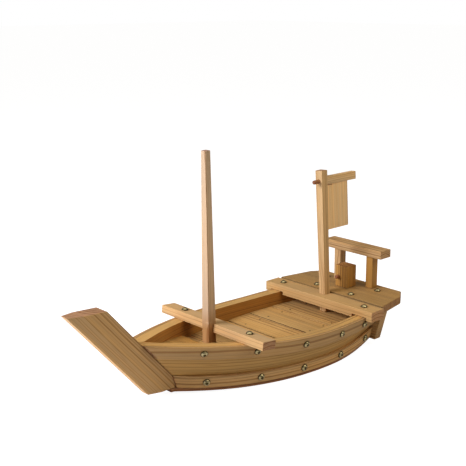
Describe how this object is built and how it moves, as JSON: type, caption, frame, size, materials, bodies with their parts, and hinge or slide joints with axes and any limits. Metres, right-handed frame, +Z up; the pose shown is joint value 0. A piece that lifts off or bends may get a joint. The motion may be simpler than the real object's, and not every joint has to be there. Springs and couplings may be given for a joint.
{
  "type": "wooden sushi serving boat",
  "caption": "Wooden boat-shaped serving platter with a raked prow, nailed strakes, a planked serving well, thwart, lift-out mast, flag on a post and a small gate on the aft deck.",
  "frame": {"origin": "bottom centre of the whole boat's bounding box, on the surface it stands on", "axes": "+X towards the stern, +Y to starboard, +Z up"},
  "size_m": [0.6096, 0.2342, 0.3451],
  "materials": {
    "pine": "satin clear-coated pine",
    "pine_dark": "satin clear-coated pine, darker boards",
    "pine_pale": "satin clear-coated pine, paler bars",
    "dowel": "reddish hardwood dowel",
    "brass": "dull polished brass"
  },
  "bodies": {
    "boat": {"aft_deck": "pine", "beam_nail_port": "brass", "beam_nail_starboard": "brass", "bitt": "pine_pale", "bitt_pin": "dowel", "bottom_board": "pine_dark", "deck_aft_nail_port": "brass", "deck_aft_nail_starboard": "brass", "deck_beam": "pine", "deck_cleat": "pine_dark", "deck_fore_nail_port": "brass", "deck_fore_nail_starboard": "brass", "floor_bearer_port": "pine_dark", "floor_bearer_starboard": "pine_dark", "floor_board_1": "pine", "floor_board_2": "pine", "floor_board_3": "pine", "floor_board_4": "pine", "floor_board_5": "pine", "floor_board_6": "pine", "gate_post_port": "pine_pale", "gate_post_starboard": "pine_pale", "gate_rail": "pine", "lower_nail_port_1": "brass", "lower_nail_port_2": "brass", "lower_nail_port_3": "brass", "lower_nail_port_4": "brass", "lower_nail_port_5": "brass", "lower_nail_starboard_1": "brass", "lower_nail_starboard_2": "brass", "lower_nail_starboard_3": "brass", "lower_nail_starboard_4": "brass", "lower_nail_starboard_5": "brass", "lower_strake_port": "pine", "lower_strake_starboard": "pine", "mast_step": "pine_dark", "prow_stem": "pine", "side_plank_port": "pine_dark", "side_plank_starboard": "pine_dark", "thwart": "pine", "thwart_nail_port": "brass", "thwart_nail_starboard": "brass", "transom": "pine", "upper_nail_port_1": "brass", "upper_nail_port_2": "brass", "upper_nail_port_3": "brass", "upper_nail_port_4": "brass", "upper_nail_port_5": "brass", "upper_nail_starboard_1": "brass", "upper_nail_starboard_2": "brass", "upper_nail_starboard_3": "brass", "upper_nail_starboard_4": "brass", "upper_nail_starboard_5": "brass", "upper_strake_port": "pine", "upper_strake_starboard": "pine"},
    "mast": {"mast": "pine_pale"},
    "flag": {"flag_post": "pine", "flag_peg": "dowel", "flag_bar": "pine", "flag_board": "pine"}
  },
  "joints": [
    {"name": "mast_lift", "type": "slide", "parent": "boat", "child": "mast", "axis": [-0.0175, 0, 0.9998], "range_m": [0, 0.041]},
    {"name": "flag_lift", "type": "slide", "parent": "boat", "child": "flag", "axis": [0, 0.0628, 0.998], "range_m": [0, 0.04]}
  ]
}
